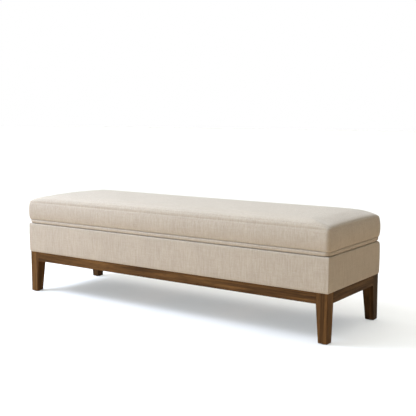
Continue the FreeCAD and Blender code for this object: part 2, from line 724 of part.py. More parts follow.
def tilt_to_stay(body, x, y, z):
    """Stand a stay's piece at a place, its -Y pointing forward and down along the track."""
    body.Placement.Rotation = FreeCAD.Rotation(FreeCAD.Vector(1, 0, 0), 1)
    body.setExpression("Placement.Rotation.Angle", "sizes.stay_tilt * 1 deg")
    bind_place(body, x, y, z)
    return body


def make_track(side, sign):
    """A grooved bar on the end wall that points at the hinge axis, held by two ears below it."""
    body = new_body(f"stay_track_{side}")
    thick = span(sign, TRACK_FACE, LINED_X)
    open_side = span(sign, TRACK_FACE, GROOVE_FLOOR)
    ends = (f"-{SLIDE_FAR}", f"-{SLIDE_NEAR}")
    groove_ends = (f"-{SLIDE_FAR} - sizes.groove_slack", f"-{SLIDE_NEAR} + sizes.groove_slack")
    half = "(sizes.track_width / 2)"
    body_box(body, "Additive", thick, ends, both_ways(half))
    for end in ends:
        body_rod(body, "Additive", "x", thick, (end, "0"), half)
    for _, along in EAR_PLACES:
        body_box(body, "Additive", span(sign, EAR_SEAT, LINED_X),
                 (f"-{along} - sizes.ear_side / 2", f"-{along} + sizes.ear_side / 2"),
                 (f"-({half} + 2 * sizes.ear_drop)", f"-{half} + sizes.ear_thick"))
    body_box(body, "Subtractive", open_side, groove_ends, both_ways("sizes.groove_radius"))
    for end in groove_ends:
        body_rod(body, "Subtractive", "x", open_side, (end, "0"), "sizes.groove_radius")
    for _, along in EAR_PLACES:
        body_rod(body, "Subtractive", "x", thick, (f"-{along}", f"-{EAR_SCREW_DROP}"), SCREW_HOLE)
    return tilt_to_stay(body, "0", HINGE_Y, HINGE_Z)


def ear_screw_spots():
    """Where the ear screws meet the end wall, as (name, y, z)."""
    cosine = "cos(sizes.stay_tilt * 1 deg)"
    sine = "sin(sizes.stay_tilt * 1 deg)"
    return [(ear, f"({HINGE_Y} - {along} * {cosine} + {EAR_SCREW_DROP} * {sine})",
             f"({HINGE_Z} - {along} * {sine} - {EAR_SCREW_DROP} * {cosine})") for ear, along in EAR_PLACES]


def ear_screw_holes(name, sign):
    """Holes for the ear screws in one end wall."""
    far = f"({EAR_SEAT} + sizes.lid_screw_reach + sizes.screw_hole_slack)"
    return [rod(f"{name}_hole_{ear}", "x", span(sign, EAR_SEAT, far), (y, z), SCREW_HOLE)
            for ear, y, z in ear_screw_spots()]


def ear_screws(side, sign):
    screws = []
    for ear, y, z in ear_screw_spots():
        name = f"ear_screw_{side}_{ear}"
        head = span(sign, f"({EAR_SEAT} - sizes.screw_head_thick)", EAR_SEAT)
        shank = span(sign, EAR_SEAT, f"({EAR_SEAT} + sizes.lid_screw_reach)")
        screws.append(group(name, [rod(f"{name}_head", "x", head, (y, z), "sizes.screw_head_radius"),
                                   rod(f"{name}_shank", "x", shank, (y, z), "sizes.screw_radius")]))
    return screws


def make_arm(side, sign):
    """A flat bar from the lid bracket's rivet to the slide pin."""
    body = new_body(f"stay_arm_{side}")
    thick = span(sign, ARM_INNER, ARM_OUTER)
    ends = ("-sizes.stay_arm", "0")
    body_box(body, "Additive", thick, ends, both_ways("(sizes.stay_width / 2)"))
    for end in ends:
        body_rod(body, "Additive", "x", thick, (end, "0"), "sizes.stay_width / 2")
    for end, hole in zip(ends, ("sizes.slide_radius", "sizes.stay_hole_radius")):
        body_rod(body, "Subtractive", "x", thick, (end, "0"), f"{hole} + sizes.fit_clearance")
    return tilt_to_stay(body, "0", PIVOT_Y, PIVOT_Z)


def make_slide_pin(side, sign):
    """A pin through the arm's free end, headed on both sides of it, running in the track's groove."""
    body = new_body(f"stay_slide_pin_{side}")
    centre = ("-sizes.stay_arm", "0")
    tip = f"({GROOVE_FLOOR} - sizes.slide_tip_gap)"
    body_rod(body, "Additive", "x", span(sign, ARM_INNER, tip), centre, "sizes.slide_radius")
    inner_head = span(sign, f"({ARM_INNER} - sizes.rivet_head_thick)", ARM_INNER)
    outer_head = span(sign, ARM_OUTER, f"({ARM_OUTER} + sizes.rivet_head_thick)")
    for head in (inner_head, outer_head):
        body_rod(body, "Additive", "x", head, centre, "sizes.rivet_head_radius")
    return tilt_to_stay(body, "0", PIVOT_Y, PIVOT_Z)


def make_bracket(side, sign):
    """An angle under the lid: a foot screwed to the board and a tab that drops to the arm's pivot."""
    body = new_body(f"stay_bracket_{side}")
    tab = span(sign, BRACKET_INNER, BRACKET_OUTER)
    body_box(body, "Additive", span(sign, f"({BRACKET_OUTER} - sizes.bracket_foot)", BRACKET_OUTER),
             both_ways("(sizes.bracket_long / 2)"), ("-sizes.stay_thick", "0"))
    drop = f"({LID_BOTTOM} - {PIVOT_Z})"
    body_box(body, "Additive", tab, both_ways("(sizes.stay_width * 0.75)"), (f"-{drop}", "0"))
    body_rod(body, "Additive", "x", tab, ("0", f"-{drop}"), "sizes.stay_width * 0.75")
    body_rod(body, "Subtractive", "x", tab, ("0", f"-{drop}"), "sizes.stay_hole_radius + sizes.fit_clearance")
    foot_middle = f"{sign} * ({BRACKET_OUTER} - sizes.bracket_foot / 2)"
    for _, way in ENDS:
        place = (foot_middle, f"{way} * sizes.bracket_screw_place")
        body_rod(body, "Subtractive", "z", ("-sizes.stay_thick", "0"), place, SCREW_HOLE)
    bind_place(body, "0", PIVOT_Y, LID_BOTTOM)
    return body


def make_rivet(side, sign):
    """The pivot of the arm: a shank through bracket and arm with a head on each side."""
    body = new_body(f"stay_rivet_{side}")
    middle = ("0", "0")
    seat = f"({ARM_OUTER} + sizes.bracket_gap)"
    tip = f"({seat} + sizes.rivet_head_thick)"
    inner_head = span(sign, f"({BRACKET_INNER} - sizes.rivet_head_thick)", BRACKET_INNER)
    body_rod(body, "Additive", "x", span(sign, BRACKET_INNER, tip), middle, "sizes.stay_hole_radius")
    for head in (inner_head, span(sign, seat, tip)):
        body_rod(body, "Additive", "x", head, middle, "sizes.rivet_head_radius")
    bind_place(body, "0", PIVOT_Y, PIVOT_Z)
    return body


# Hardware


def make_hardware():
    for hinge, place in HINGE_PLACES:
        keep(make_box_leaf(f"hinge_box_leaf_{hinge}", place))
        keep(make_lid_leaf(f"hinge_lid_leaf_{hinge}", place))
        keep(make_hinge_pin(f"hinge_pin_{hinge}", place))
    for side, sign in SIDES:
        keep(make_track(side, sign))
        keep(make_arm(side, sign))
        keep(make_slide_pin(side, sign))
        keep(make_bracket(side, sign))
        keep(make_rivet(side, sign))
    box_screws = [screw(f"rim_screw_{step}", place, BOX_SCREW_SEAT, -1, "sizes.box_screw_reach")
                  for step, place in hinge_screw_places(BOX_SCREW_BACK)]
    for side, sign in SIDES:
        box_screws += ear_screws(side, sign)
    keep(group("hardware_screws_box", box_screws))
    lid_screws = [screw(f"lid_screw_{step}", place, LID_SCREW_SEAT, 1, "sizes.lid_screw_reach")
                  for step, place in hinge_screw_places(LID_SCREW_BACK)]
    foot_bottom = f"({LID_BOTTOM} - sizes.stay_thick)"
    lid_screws += [screw(f"lid_screw_{step}", place, foot_bottom, 1, "sizes.lid_screw_reach")
                   for step, place in bracket_screw_places()]
    keep(group("hardware_screws_lid", lid_screws))
    keep(make_bumpers())


def make_bumpers():
    """Four rubber discs on the front rim that the lid closes on."""
    tall = ("sizes.rim_height", "(sizes.rim_height + sizes.bumper_tall)")
    line = f"-({HALF_Y} - sizes.bumper_inset)"
    return group("rim_bumpers", [
        rod(f"rim_bumper_{side}_{reach}", "z", tall, (f"{sign} * sizes.bumper_{reach}", line),
            "sizes.bumper_radius")
        for side, sign in SIDES for reach in ("near", "far")])


def check_and_write():
    """Stop on any failed object or bad shape, then write one file per sub-part."""
    doc.recompute()
    for item in doc.Objects:
        if "Invalid" in item.State or "Error" in item.State:
            raise RuntimeError(f"{item.Name} failed: {item.State}")
    for piece in subparts:
        if piece.Shape.isNull() or not piece.Shape.isValid():
            raise RuntimeError(f"{piece.Label} has no valid shape")
    for piece in subparts:
        piece.Shape.exportStep(f"parts/{piece.Label}.step")
        print(f"{piece.Label}: {len(piece.Shape.Solids)} solid(s), {piece.Shape.Volume / 1000:.2f} cm3")


make_base_frame()
make_box()
make_lid()
make_hardware()
check_and_write()
print(f"{len(subparts)} sub-parts")
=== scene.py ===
import math

import bpy
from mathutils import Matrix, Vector, noise


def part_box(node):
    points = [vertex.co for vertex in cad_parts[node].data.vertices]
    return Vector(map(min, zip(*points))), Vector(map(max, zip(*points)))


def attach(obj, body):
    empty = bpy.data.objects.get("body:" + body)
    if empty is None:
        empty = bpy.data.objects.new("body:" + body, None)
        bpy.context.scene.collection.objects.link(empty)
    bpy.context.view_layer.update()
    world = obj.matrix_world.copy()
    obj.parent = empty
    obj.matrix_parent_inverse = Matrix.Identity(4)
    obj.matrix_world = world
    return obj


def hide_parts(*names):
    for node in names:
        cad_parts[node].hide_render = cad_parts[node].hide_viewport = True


# The looks of the storage bench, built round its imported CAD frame. Metres, front at -Y, +Z up.

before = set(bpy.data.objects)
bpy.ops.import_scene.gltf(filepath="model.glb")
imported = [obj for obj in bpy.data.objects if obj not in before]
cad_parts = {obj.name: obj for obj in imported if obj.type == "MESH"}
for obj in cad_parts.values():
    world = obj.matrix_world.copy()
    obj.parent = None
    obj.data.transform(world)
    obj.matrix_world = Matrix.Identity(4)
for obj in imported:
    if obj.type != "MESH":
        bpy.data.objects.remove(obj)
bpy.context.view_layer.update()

MM = 0.001

# Planes of the frame that the soft pieces are made to
COVER_LOW, COVER_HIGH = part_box("cushion_cover")
HALF_X = COVER_HIGH.x
HALF_Y = COVER_HIGH.y
RIM_LOW, RIM_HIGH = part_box("box_cover_front")
BAND_LOW, BAND_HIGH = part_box("lid_edge_band")
BOARD_LOW, BOARD_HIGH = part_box("lid_board")


# ---------------------------------------------------------------- mesh helpers

def smooth(a, b, x):
    """0 up to a, 1 from b on, and an even curve between."""
    t = min(1.0, max(0.0, (x - a) / (b - a)))
    return t * t * (3 - 2 * t)


def hump(x, width):
    """1 at x = 0, falling away over about width on each side."""
    return math.exp(-((x / width) ** 2))


def make_piece(name, vertices, faces, material, body, sharp_deg=50):
    """A smooth-shaded mesh piece that rides on a body and takes its finish from a slot."""
    mesh = bpy.data.meshes.new(name)
    mesh.from_pydata([tuple(v) for v in vertices], [], faces)
    mesh.update()
    mesh.polygons.foreach_set("use_smooth", [True] * len(mesh.polygons))
    mesh.set_sharp_from_angle(angle=math.radians(sharp_deg))
    mesh.materials.append(material)
    piece = bpy.data.objects.new(name, mesh)
    bpy.context.scene.collection.objects.link(piece)
    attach(piece, body)
    return piece


def spread(low, high, step, graded=()):
    """Places from low to high: the graded distances in from both ends, then even steps."""
    inner_low = low + (graded[-1] if graded else 0)
    inner_high = high - (graded[-1] if graded else 0)
    count = max(1, round((inner_high - inner_low) / step))
    even = [inner_low + (inner_high - inner_low) * k / count for k in range(count + 1)]
    first = [low] + [low + g for g in graded[:-1]]
    last = [high - g for g in reversed(graded[:-1])] + [high]
    return first + even + last if graded else even


class Outline:
    """A rounded rectangle in plan whose rings and inner grid share their places."""

    def __init__(self, half_x, half_y, radius, x_places, y_places, arc_steps=3, centre=(0, 0)):
        self.half = (half_x, half_y)
        self.radius = radius
        self.centre = centre
        angles = [math.pi / 4 * k / arc_steps for k in range(1, arc_steps + 1)]
        self.stations = []
        for places in (x_places, y_places):
            low = [("arc", -1, a) for a in reversed(angles)]
            high = [("arc", 1, a) for a in angles]
            self.stations.append(low + [("line", place, 0) for place in places] + high)
        self.nx, self.ny = (len(s) for s in self.stations)
        front = [(i, 0) for i in range(self.nx)]
        right = [(self.nx - 1, j) for j in range(1, self.ny)]
        back = [(i, self.ny - 1) for i in range(self.nx - 2, -1, -1)]
        left = [(0, j) for j in range(self.ny - 2, 0, -1)]
        self.edge = front + right + back + left

    def _side(self, axis, index, inset):
        """(place along a side, reach out of the middle) of a station on the ring at that inset."""
        kind, place, angle = self.stations[axis][index]
        along, out = self.half[axis], self.half[1 - axis]
        ring = self.radius - inset
        if kind == "line":
            return place, out - inset
        return (place * (along - self.radius + ring * math.sin(angle)),
                out - self.radius + ring * math.cos(angle))

    def point(self, i, j, inset):
        """The plan place of a grid point of the outline drawn in by inset."""
        corner_x = self._side(0, self.nx - 1, inset)[0]
        corner_y = self._side(1, self.ny - 1, inset)[0]
        x_along, y_out = self._side(0, i, inset)
        y_along, x_out = self._side(1, j, inset)
        x = x_along + x_along / corner_x * (x_out - corner_x)
        y = y_along + y_along / corner_y * (y_out - corner_y)
        return self.centre[0] + x, self.centre[1] + y


class ClosedForm:
    """A closed form of a top grid, rings round the sides and a bottom grid, with known places."""

    def __init__(self, outline, rings, top, bottom):
        """rings are (inset, height) from the top grid's edge to the bottom grid's, with no height where
        a ring lies on the top; top and bottom are heights by plan place."""
        self.outline = outline
        self.vertices = []
        self.faces = []
        self.top = self._grid(rings[0], top)
        self.rings = [[self.top[i][j] for i, j in outline.edge]]
        for inset, height in rings[1:-1]:
            places = [outline.point(i, j, inset) for i, j in outline.edge]
            self.rings.append([self._add(plan, top(*plan) if height is None else height)
                               for plan in places])
        self.bottom = self._grid(rings[-1], bottom)
        self.rings.append([self.bottom[i][j] for i, j in outline.edge])
        self._join_grid(self.top, upward=True)
        self._join_grid(self.bottom, upward=False)
        for upper, lower in zip(self.rings, self.rings[1:]):
            for k in range(len(upper)):
                after = (k + 1) % len(upper)
                self.faces.append((upper[k], lower[k], lower[after], upper[after]))

    def _add(self, plan, height):
        self.vertices.append(Vector((plan[0], plan[1], height)))
        return len(self.vertices) - 1

    def _grid(self, ring, height):
        inset, edge_height = ring
        grid = []
        for i in range(self.outline.nx):
            column = []
            for j in range(self.outline.ny):
                plan = self.outline.point(i, j, inset)
                on_edge = i in (0, self.outline.nx - 1) or j in (0, self.outline.ny - 1)
                on_ring = on_edge and edge_height is not None
                column.append(self._add(plan, edge_height if on_ring else height(*plan)))
            grid.append(column)
        return grid

    def _join_grid(self, grid, upward):
        for i in range(self.outline.nx - 1):
            for j in range(self.outline.ny - 1):
                face = (grid[i][j], grid[i + 1][j], grid[i + 1][j + 1], grid[i][j + 1])
                self.faces.append(face if upward else face[::-1])


def sweep_ring(outline, profile, shift):
    """A closed band: a closed profile of (inset, height) points carried round an outline.

    shift(place, number of the profile point) gives the place that a point really has."""
    vertices = []
    loops = []
    for number, (inset, height) in enumerate(profile):
        loop = []
        for i, j in outline.edge:
            vertices.append(shift(Vector((*outline.point(i, j, inset), height)), number))
            loop.append(len(vertices) - 1)
        loops.append(loop)
    faces = []
    for loop, following in zip(loops, loops[1:] + loops[:1]):
        for k in range(len(loop)):
            after = (k + 1) % len(loop)
            faces.append((loop[k], loop[after], following[after], following[k]))
    return vertices, faces


def wire(path, radius, sides=6, taper=1.0):
    """Vertices and faces of a round wire with closed ends, along a short path of points."""
    vertices = []
    faces = []
    for k, point in enumerate(path):
        before = path[max(0, k - 1)]
        after = path[min(len(path) - 1, k + 1)]
        forward = (after - before).normalized()
        helper = Vector((0, 0, 1)) if abs(forward.z) < 0.9 else Vector((1, 0, 0))
        across = forward.cross(helper).normalized()
        upright = across.cross(forward)
        thick = radius * (taper if k in (0, len(path) - 1) else 1.0)
        for step in range(sides):
            angle = 2 * math.pi * step / sides
            vertices.append(point + across * thick * math.cos(angle) + upright * thick * math.sin(angle))
        if k:
            start = (k - 1) * sides
            for step in range(sides):
                turn = (step + 1) % sides
                faces.append((start + step, start + turn, start + sides + turn, start + sides + step))
    faces.append(tuple(range(sides))[::-1])
    faces.append(tuple(range((len(path) - 1) * sides, len(path) * sides)))
    return vertices, faces


def join(parts):
    """One list of vertices and one of faces from several."""
    vertices = []
    faces = []
    for more_vertices, more_faces in parts:
        start = len(vertices)
        vertices += more_vertices
        faces += [tuple(start + k for k in face) for face in more_faces]
    return vertices, faces


def stitches(line, outward, pitch, length, proud, radius, closed=True):
    """A row of thread stitches on a line of surface points, each with its outward direction."""
    parts = []
    count = len(line)
    spans = count if closed else count - 1
    lengths = [(line[(k + 1) % count] - line[k]).length for k in range(spans)]
    total = sum(lengths)
    number = int(total / pitch)
    place, k, passed = 0.0, 0, 0.0

    def at(distance):
        nonlocal k, passed
        while k < spans - 1 and distance > passed + lengths[k]:
            passed += lengths[k]
            k += 1
        t = min(1.0, (distance - passed) / lengths[k])
        after = (k + 1) % count
        return line[k].lerp(line[after], t), outward[k].lerp(outward[after], t).normalized()

    for step in range(number):
        start = step * total / number
        path = []
        for share, lift in ((0.0, -1.0), (0.15, 0.35), (0.5, 1.0), (0.85, 0.35), (1.0, -1.0)):
            point, out = at(start + share * length)
            path.append(point + out * (proud * lift))
        parts.append(wire(path, radius, taper=0.7))
    return join(parts)


# ---------------------------------------------------------------- material helpers

class Shader:
    """A node material being built: short calls for the nodes that the materials here share."""

    def __init__(self, name):
        self.material = bpy.data.materials.new(name)
        self.material.use_nodes = True
        self.nodes = self.material.node_tree.nodes
        self.links = self.material.node_tree.links
        self.surface = self.nodes["Principled BSDF"]
        self.coordinates = self.nodes.new("ShaderNodeTexCoord")

    def put(self, value, socket):
        """Link a node's output to a socket, or set the socket when value is a number."""
        if hasattr(value, "links"):
            self.links.new(value, socket)
        else:
            socket.default_value = value

    def maths(self, operation, first, second=0.0, clamp=False):
        node = self.nodes.new("ShaderNodeMath")
        node.operation = operation
        node.use_clamp = clamp
        self.put(first, node.inputs[0])
        self.put(second, node.inputs[1])
        return node.outputs[0]

    def scaled(self, scale):
        """Object coordinates stretched by a scale per axis."""
        node = self.nodes.new("ShaderNodeMapping")
        node.inputs["Scale"].default_value = scale
        self.links.new(self.coordinates.outputs["Object"], node.inputs["Vector"])
        return node.outputs[0]

    def noise(self, scale, detail=2.0, roughness=0.5, distortion=0.0):
        """Noise over object coordinates; scale is one number or one per axis, in features a metre."""
        node = self.nodes.new("ShaderNodeTexNoise")
        node.inputs["Scale"].default_value = 1.0
        node.inputs["Detail"].default_value = detail
        node.inputs["Roughness"].default_value = roughness
        node.inputs["Distortion"].default_value = distortion
        stretch = scale if hasattr(scale, "__len__") else (scale,) * 3
        self.links.new(self.scaled(stretch), node.inputs["Vector"])
        return node.outputs[0]

    def fit(self, value, from_low, from_high, low=0.0, high=1.0):
        """value moved from one range to another, clamped."""
        node = self.nodes.new("ShaderNodeMapRange")
        self.links.new(value, node.inputs["Value"])
        for socket, number in (("From Min", from_low), ("From Max", from_high),
                               ("To Min", low), ("To Max", high)):
            node.inputs[socket].default_value = number
        return node.outputs["Result"]

    def ramp(self, value, stops):
        """A colour ramp of (place, colour) stops."""
        node = self.nodes.new("ShaderNodeValToRGB")
        elements = node.color_ramp.elements
        while len(elements) < len(stops):
            elements.new(0.5)
        for element, (place, colour) in zip(elements, stops):
            element.position = place
            element.color = (*colour, 1.0)
        self.links.new(value, node.inputs["Fac"])
        return node.outputs["Color"]

    def tinted(self, colour, factor):
        """A colour multiplied by a number."""
        node = self.nodes.new("ShaderNodeVectorMath")
        node.operation = "SCALE"
        self.put(colour, node.inputs[0])
        self.put(factor, node.inputs["Scale"])
        return node.outputs[0]

    def blend(self, factor, first, second):
        node = self.nodes.new("ShaderNodeMix")
        node.data_type = "RGBA"
        self.put(factor, node.inputs["Factor"])
        self.put(first, node.inputs[6])
        self.put(second, node.inputs[7])
        return node.outputs[2]

    def facing(self):
        """Squares of the surface's own direction along x, y and z, which add up to 1."""
        node = self.nodes.new("ShaderNodeSeparateXYZ")
        self.links.new(self.coordinates.outputs["Normal"], node.inputs[0])
        return [self.maths("MULTIPLY", node.outputs[k], node.outputs[k]) for k in range(3)]

    def bump(self, height, distance, strength=1.0, softened=0.0):
        node = self.nodes.new("ShaderNodeBump")
        node.inputs["Strength"].default_value = strength
        node.inputs["Distance"].default_value = distance
        self.links.new(height, node.inputs["Height"])
        if softened:
            self.links.new(self.bevelled(softened), node.inputs["Normal"])
        self.links.new(node.outputs["Normal"], self.surface.inputs["Normal"])

    def bevelled(self, radius):
        """Edges eased by a small radius."""
        node = self.nodes.new("ShaderNodeBevel")
        node.samples = 4
        node.inputs["Radius"].default_value = radius
        return node.outputs["Normal"]

    def colour(self, value):
        self.put(value, self.surface.inputs["Base Color"])

    def rough(self, value):
        self.put(value, self.surface.inputs["Roughness"])

    def set(self, **values):
        for name, value in values.items():
            socket = name.replace("_", " ").title().replace("Ior", "IOR")
            self.surface.inputs[socket].default_value = value


def weave(shader, pitch):
    """The over-and-under of a plain weave with threads along the axes, from -1 to 1."""
    split = shader.nodes.new("ShaderNodeSeparateXYZ")
    shader.links.new(shader.scaled((2 * math.pi / pitch,) * 3), split.inputs[0])
    waves = [shader.maths("SINE", split.outputs[k]) for k in range(3)]
    squares = shader.facing()
    total = 0.0
    for axis, (a, b) in enumerate(((1, 2), (0, 2), (0, 1))):
        crossing = shader.maths("MULTIPLY", waves[a], waves[b])
        total = shader.maths("ADD", total, shader.maths("MULTIPLY", squares[axis], crossing))
    return total


def slubs(shader, length, thick, shares=(0.8, 0.9, 1.3)):
    """Uneven threads along the three axes, each with its share, from 0 to 1."""
    total = 0.0
    for axis, share in enumerate(shares):
        scale = [1 / thick] * 3
        scale[axis] = 1 / length
        threads = shader.noise(tuple(scale), detail=2.5, roughness=0.6)
        total = shader.maths("ADD", total, shader.maths("MULTIPLY", threads, share))
    middle = sum(shares) / 2
    return shader.fit(total, middle - 0.35, middle + 0.35)


def linen(name, dark, light, pitch=1.1 * MM):
    """Slubby plain-weave upholstery linen."""
    shader = Shader(name)
    threads = slubs(shader, 22 * MM, 1.5 * MM, (0.7, 0.7, 1.2))
    coarse = slubs(shader, 60 * MM, 5.0 * MM, (0.5, 0.5, 1.4))
    cloudy = shader.noise(9, detail=3)
    mixed = shader.maths("ADD", shader.maths("MULTIPLY", threads, 0.5),
                         shader.maths("MULTIPLY", coarse, 0.5))
    colour = shader.ramp(mixed, ((0.15, dark), (0.85, light)))
    shader.colour(shader.tinted(colour, shader.fit(cloudy, 0.3, 0.7, 0.97, 1.03)))
    shader.rough(shader.fit(threads, 0.0, 1.0, 0.98, 0.86))
    height = shader.maths("ADD", shader.maths("MULTIPLY", weave(shader, pitch), 0.35), threads)
    shader.bump(height, 0.3 * MM, 0.5)
    shader.set(sheen_weight=0.25, sheen_roughness=0.45, specular_ior_level=0.15)
    return shader.material


def flat_cloth(name, dark, light, pitch, relief):
    """A plain, even lining cloth."""
    shader = Shader(name)
    threads = slubs(shader, 12 * MM, 1.1 * MM)
    cloudy = shader.noise(14, detail=3)
    colour = shader.ramp(threads, ((0.1, dark), (0.9, light)))
    shader.colour(shader.tinted(colour, shader.fit(cloudy, 0.3, 0.7, 0.94, 1.05)))
    shader.rough(shader.fit(threads, 0.0, 1.0, 0.95, 0.8))
    height = shader.maths("ADD", shader.maths("MULTIPLY", weave(shader, pitch), 0.5), threads)
    shader.bump(height, relief, 0.5)
    shader.set(sheen_weight=0.15, sheen_roughness=0.5, specular_ior_level=0.2)
    return shader.material


def walnut(name, axis, painted_shade_factor=1.0):
    """Oiled walnut with its grain along one axis; a factor below 1 darkens the whole piece as painted shade."""
    shader = Shader(name)

    def along(long, across):
        scale = [across] * 3
        scale[axis] = long
        return tuple(scale)

    figure = shader.noise(along(1.3, 26), detail=5, roughness=0.55, distortion=0.9)
    streak = shader.noise(along(5, 190), detail=4, roughness=0.6)
    pores = shader.noise(along(38, 820), detail=1.5, roughness=0.5)
    colour = shader.ramp(figure, (
        (0.28, (0.034, 0.0155, 0.0052)),
        (0.45, (0.079, 0.0370, 0.0118)),
        (0.58, (0.125, 0.0615, 0.0205)),
        (0.75, (0.180, 0.0960, 0.0350))))
    # The darkening factor scales all of the grain's brightness; below 1 it paints shade onto the piece.
    shade = shader.maths("MULTIPLY", shader.fit(streak, 0.32, 0.68, 0.55 * painted_shade_factor, 1.35 * painted_shade_factor),
                         shader.fit(pores, 0.33, 0.45, 0.62, 1.0))
    shader.colour(shader.tinted(colour, shade))
    shader.rough(shader.fit(streak, 0.3, 0.7, 0.62, 0.5))
    shader.bump(shader.fit(pores, 0.3, 0.5), 0.12 * MM, 0.5, softened=1.0 * MM)
    shader.set(specular_ior_level=0.09)
    return shader.material


def raw_wood(name, axis):
    """Pale solid timber left unfinished, for the rails and blocks under the box."""
    shader = Shader(name)
    scale = [120] * 3
    scale[axis] = 4
    grain = shader.noise(tuple(scale), detail=5, roughness=0.6, distortion=0.6)
    shader.colour(shader.ramp(grain, ((0.3, (0.36, 0.235, 0.125)), (0.7, (0.56, 0.41, 0.25)))))
    shader.rough(shader.fit(grain, 0.3, 0.7, 0.75, 0.6))
    shader.bump(grain, 0.25 * MM, 0.5, softened=0.8 * MM)
    return shader.material


def plywood(name):
    """Birch plywood: broad face grain, and layers that show on the edges."""
    shader = Shader(name)
    face = shader.noise((3, 45, 45), detail=5, roughness=0.6, distortion=1.2)
    fine = shader.noise((14, 420, 420), detail=2)
    grain = shader.maths("MULTIPLY", shader.fit(face, 0.3, 0.7), shader.fit(fine, 0.3, 0.7, 0.85, 1.0))
    shader.colour(shader.ramp(grain, ((0.0, (0.47, 0.33, 0.19)), (1.0, (0.66, 0.52, 0.34)))))
    shader.rough(shader.fit(fine, 0.3, 0.7, 0.72, 0.58))
    shader.bump(fine, 0.15 * MM, 0.4)
    return shader.material


def foam(name):
    """Open-cell upholstery foam."""
    shader = Shader(name)
    cells = shader.nodes.new("ShaderNodeTexVoronoi")
    cells.inputs["Scale"].default_value = 1.0
    shader.links.new(shader.scaled((900,) * 3), cells.inputs["Vector"])
    shader.colour(shader.ramp(cells.outputs["Distance"], ((0.1, (0.50, 0.42, 0.24)), (0.7, (0.74, 0.68, 0.50)))))
    shader.rough(shader.fit(cells.outputs["Distance"], 0.0, 1.0, 0.95, 0.85))
    shader.bump(cells.outputs["Distance"], 0.6 * MM, 0.6)
    return shader.material


def brushed_metal(name, dark, light, axis, roughness, grain=900):
    """Metal with fine scratches along one axis and a little wear."""
    shader = Shader(name)
    scale = [grain] * 3
    scale[axis] = 18
    scratches = shader.noise(tuple(scale), detail=3, roughness=0.6)
    wear = shader.noise(55, detail=4, roughness=0.6)
    colour = shader.ramp(shader.maths("MULTIPLY", scratches, shader.fit(wear, 0.3, 0.7, 0.85, 1.15)),
                         ((0.3, dark), (0.65, light)))
    shader.colour(colour)
    shader.rough(shader.fit(scratches, 0.3, 0.7, roughness + 0.08, roughness - 0.06))
    shader.bump(scratches, 0.04 * MM, 0.4, softened=0.35 * MM)
    shader.set(metallic=1.0)
    return shader.material


def spangled_zinc(name):
    """Bright zinc plating with a mottled surface."""
    shader = Shader(name)
    flakes = shader.nodes.new("ShaderNodeTexVoronoi")
    flakes.inputs["Scale"].default_value = 1.0
    shader.links.new(shader.scaled((260,) * 3), flakes.inputs["Vector"])
    split = shader.nodes.new("ShaderNodeSeparateXYZ")
    shader.links.new(flakes.outputs["Color"], split.inputs[0])
    shader.colour(shader.ramp(split.outputs[0], ((0.0, (0.42, 0.44, 0.47)), (1.0, (0.66, 0.68, 0.70)))))
    shader.rough(shader.fit(split.outputs[1], 0.0, 1.0, 0.28, 0.42))
    shader.bump(shader.noise(700, detail=2), 0.05 * MM, 0.3, softened=0.3 * MM)
    shader.set(metallic=1.0)
    return shader.material


def moulded(name, dark, light, roughness, grain):
    """Moulded plastic or rubber with a fine spark-eroded grain."""
    shader = Shader(name)
    fine = shader.noise(grain, detail=3, roughness=0.6)
    scuffs = shader.noise(130, detail=4, roughness=0.7)
    shader.colour(shader.ramp(scuffs, ((0.35, dark), (0.7, light))))
    shader.rough(shader.fit(scuffs, 0.3, 0.7, roughness + 0.08, roughness - 0.06))
    shader.bump(fine, 0.08 * MM, 0.5, softened=0.5 * MM)
    return shader.material


def thread(name, dark, light):
    """Twisted sewing thread."""
    shader = Shader(name)
    twist = shader.noise(1400, detail=2)
    shader.colour(shader.ramp(twist, ((0.3, dark), (0.7, light))))
    shader.rough(shader.fit(twist, 0.3, 0.7, 0.8, 0.6))
    shader.bump(twist, 0.1 * MM, 0.5)
    shader.set(sheen_weight=0.2, sheen_roughness=0.4)
    return shader.material


LINEN_DARK = (0.345, 0.295, 0.244)
LINEN_LIGHT = (0.445, 0.398, 0.347)
X_AXIS, Y_AXIS, Z_AXIS = range(3)

LINEN = linen("linen_oatmeal", LINEN_DARK, LINEN_LIGHT)
THREAD = thread("thread_oatmeal", (0.40, 0.33, 0.25), (0.62, 0.54, 0.44))
LINING = flat_cloth("cotton_lining", (0.33, 0.30, 0.255), (0.44, 0.405, 0.35), 0.9 * MM, 0.25 * MM)
LINING_THREAD = thread("thread_lining", (0.26, 0.235, 0.20), (0.40, 0.37, 0.32))
DUST_CLOTH = flat_cloth("spunbond_dust_cloth", (0.035, 0.035, 0.037), (0.075, 0.075, 0.078), 1.6 * MM, 0.3 * MM)
FOAM = foam("cushion_foam_cells")
STEEL = brushed_metal("brushed_steel", (0.13, 0.125, 0.12), (0.27, 0.26, 0.25), X_AXIS, 0.46)
STAY_STEEL = brushed_metal("stay_steel_brushed", (0.20, 0.195, 0.19), (0.40, 0.39, 0.38), Y_AXIS, 0.42)
SCREW_STEEL = brushed_metal("screw_steel_plated", (0.24, 0.23, 0.22), (0.42, 0.41, 0.39), Z_AXIS, 0.36)
ZINC = spangled_zinc("zinc_plating")
GLIDE = moulded("glide_polythene", (0.018, 0.014, 0.011), (0.045, 0.036, 0.030), 0.45, 900)
RUBBER = moulded("bumper_rubber_grain", (0.30, 0.265, 0.22), (0.40, 0.36, 0.31), 0.62, 1500)
PLYWOOD = plywood("birch_plywood")


